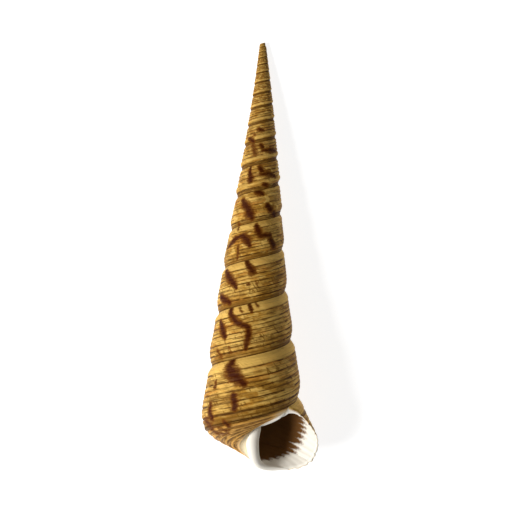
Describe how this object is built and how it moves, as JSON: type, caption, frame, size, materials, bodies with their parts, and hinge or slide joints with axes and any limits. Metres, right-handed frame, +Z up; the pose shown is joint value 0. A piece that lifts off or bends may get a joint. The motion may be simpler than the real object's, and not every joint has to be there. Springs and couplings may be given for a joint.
{
  "type": "turret shell",
  "caption": "Slender, high-spired sea-snail shell with rounded whorls and an open round mouth, lying on its side with the mouth up.",
  "frame": {"origin": "on the surface the shell lies on, under the middle of its bounding box", "axes": "+Z up, +Y along the spire towards its tip, +X towards the outer lip; the mouth looks up and towards -Y"},
  "size_m": [0.0298, 0.11, 0.0248],
  "materials": {
    "shell": "satin"
  },
  "bodies": {
    "root": {"turret_shell": "shell"}
  },
  "joints": []
}
